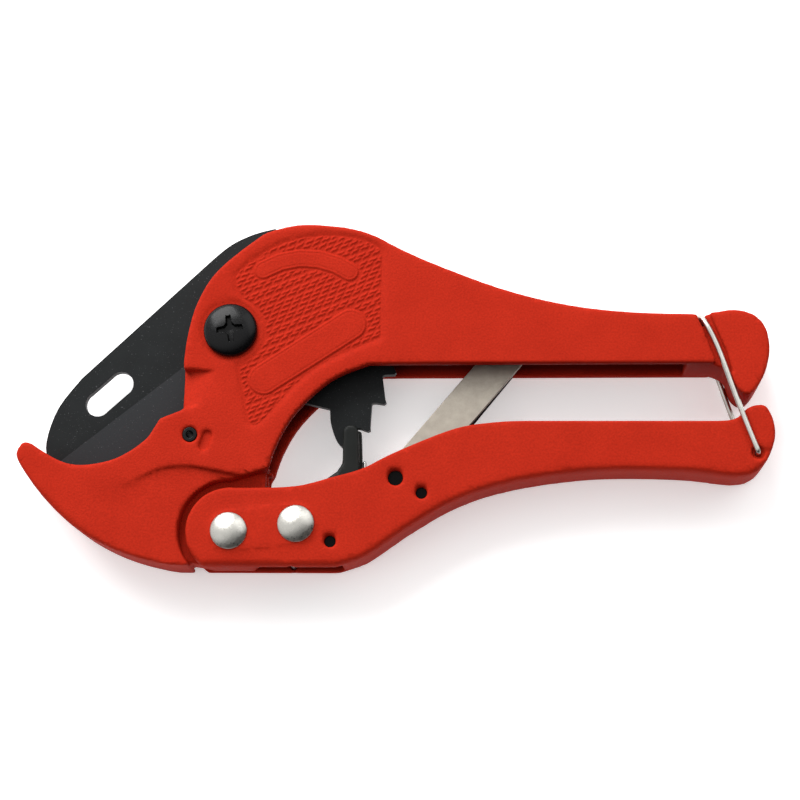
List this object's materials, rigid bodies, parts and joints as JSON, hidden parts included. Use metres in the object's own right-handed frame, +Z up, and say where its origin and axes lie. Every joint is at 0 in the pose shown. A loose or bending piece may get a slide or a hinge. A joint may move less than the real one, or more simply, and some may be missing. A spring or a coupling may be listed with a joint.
{
  "type": "pipe cutter",
  "caption": "Hand-held ratcheting pipe cutter: hooked cast jaw, pivoting toothed blade, squeeze handle with pawl and link, wire latch.",
  "frame": {"origin": "middle of the tool's footprint as it lies on its side, on the surface it lies on", "axes": "+X from the hook towards the handle ends, +Y from the lower handle towards the head, +Z up out of the tool's front face"},
  "size_m": [0.2102, 0.098, 0.0249],
  "materials": {
    "red_paint": "fine-grained semi-matt red paint on a die casting",
    "blade_steel": "blackened tool steel, satin, slightly speckled",
    "black_steel": "glossy black oxide",
    "bronze": "plain sintered bronze",
    "zinc_steel": "zinc plated, satin",
    "nickel": "bright nickel plate",
    "pawl_steel": "dark grey hardened steel, satin",
    "spring_steel": "bright spring wire",
    "pin_steel": "blackened pin ends, sunk in their holes",
    "strip_steel": "brushed flat strip, satin",
    "black_spring": "blackened spring wire"
  },
  "bodies": {
    "upper_body": {"body": "red_paint", "blade_screw": "black_steel", "blade_bush": "bronze", "blade_nut": "zinc_steel", "blade_stop_pin": "black_steel"},
    "handle_lever": {"lower_handle": "red_paint", "handle_rivet": "nickel", "pawl_rivet": "nickel", "pawl_stop_pin": "pin_steel", "pawl_spring_pin": "black_steel", "link_pin": "pin_steel", "link_spacer": "zinc_steel", "spring_anchor_pin": "pin_steel", "handle_spring": "black_spring", "pawl_spring": "spring_steel"},
    "blade_arm": {"blade": "blade_steel"},
    "pawl_arm": {"pawl": "pawl_steel"},
    "link_arm": {"link": "strip_steel", "link_guide_pin": "zinc_steel", "link_guide_rollers": "black_steel"},
    "latch": {"latch_wire": "nickel"}
  },
  "joints": [
    {"name": "handle_pivot", "type": "hinge", "parent": "upper_body", "child": "handle_lever", "pos_m": [-0.0454, -0.03925, 0.011], "axis": [0, 0, 1], "range_deg": [-26, 0]},
    {"name": "blade_pivot", "type": "hinge", "parent": "upper_body", "child": "blade_arm", "pos_m": [-0.04595, 0.01705, 0.011], "axis": [0, 0, 1], "range_deg": [-66, 0]},
    {"name": "pawl_pivot", "type": "hinge", "parent": "handle_lever", "child": "pawl_arm", "pos_m": [-0.02685, -0.03725, 0.011], "axis": [0, 0, 1], "range_deg": [0, 27.2], "deforming": ["pawl_spring"]},
    {"name": "link_pivot", "type": "hinge", "parent": "handle_lever", "child": "link_arm", "pos_m": [0.00045, -0.02435, 0.011], "axis": [0, 0, 1], "range_deg": [0, 54.2], "deforming": ["handle_spring"]},
    {"name": "latch_pivot", "type": "hinge", "parent": "handle_lever", "child": "latch", "pos_m": [0.10025, -0.01725, 0.011], "axis": [0, 0, 1], "range_deg": [-120, 0], "deforming": ["latch_wire"]}
  ],
  "couplings": [
    {"joint": "pawl_pivot", "follows": "handle_pivot", "ratio": -1.04},
    {"joint": "link_pivot", "follows": "handle_pivot", "ratio": -2.08}
  ]
}
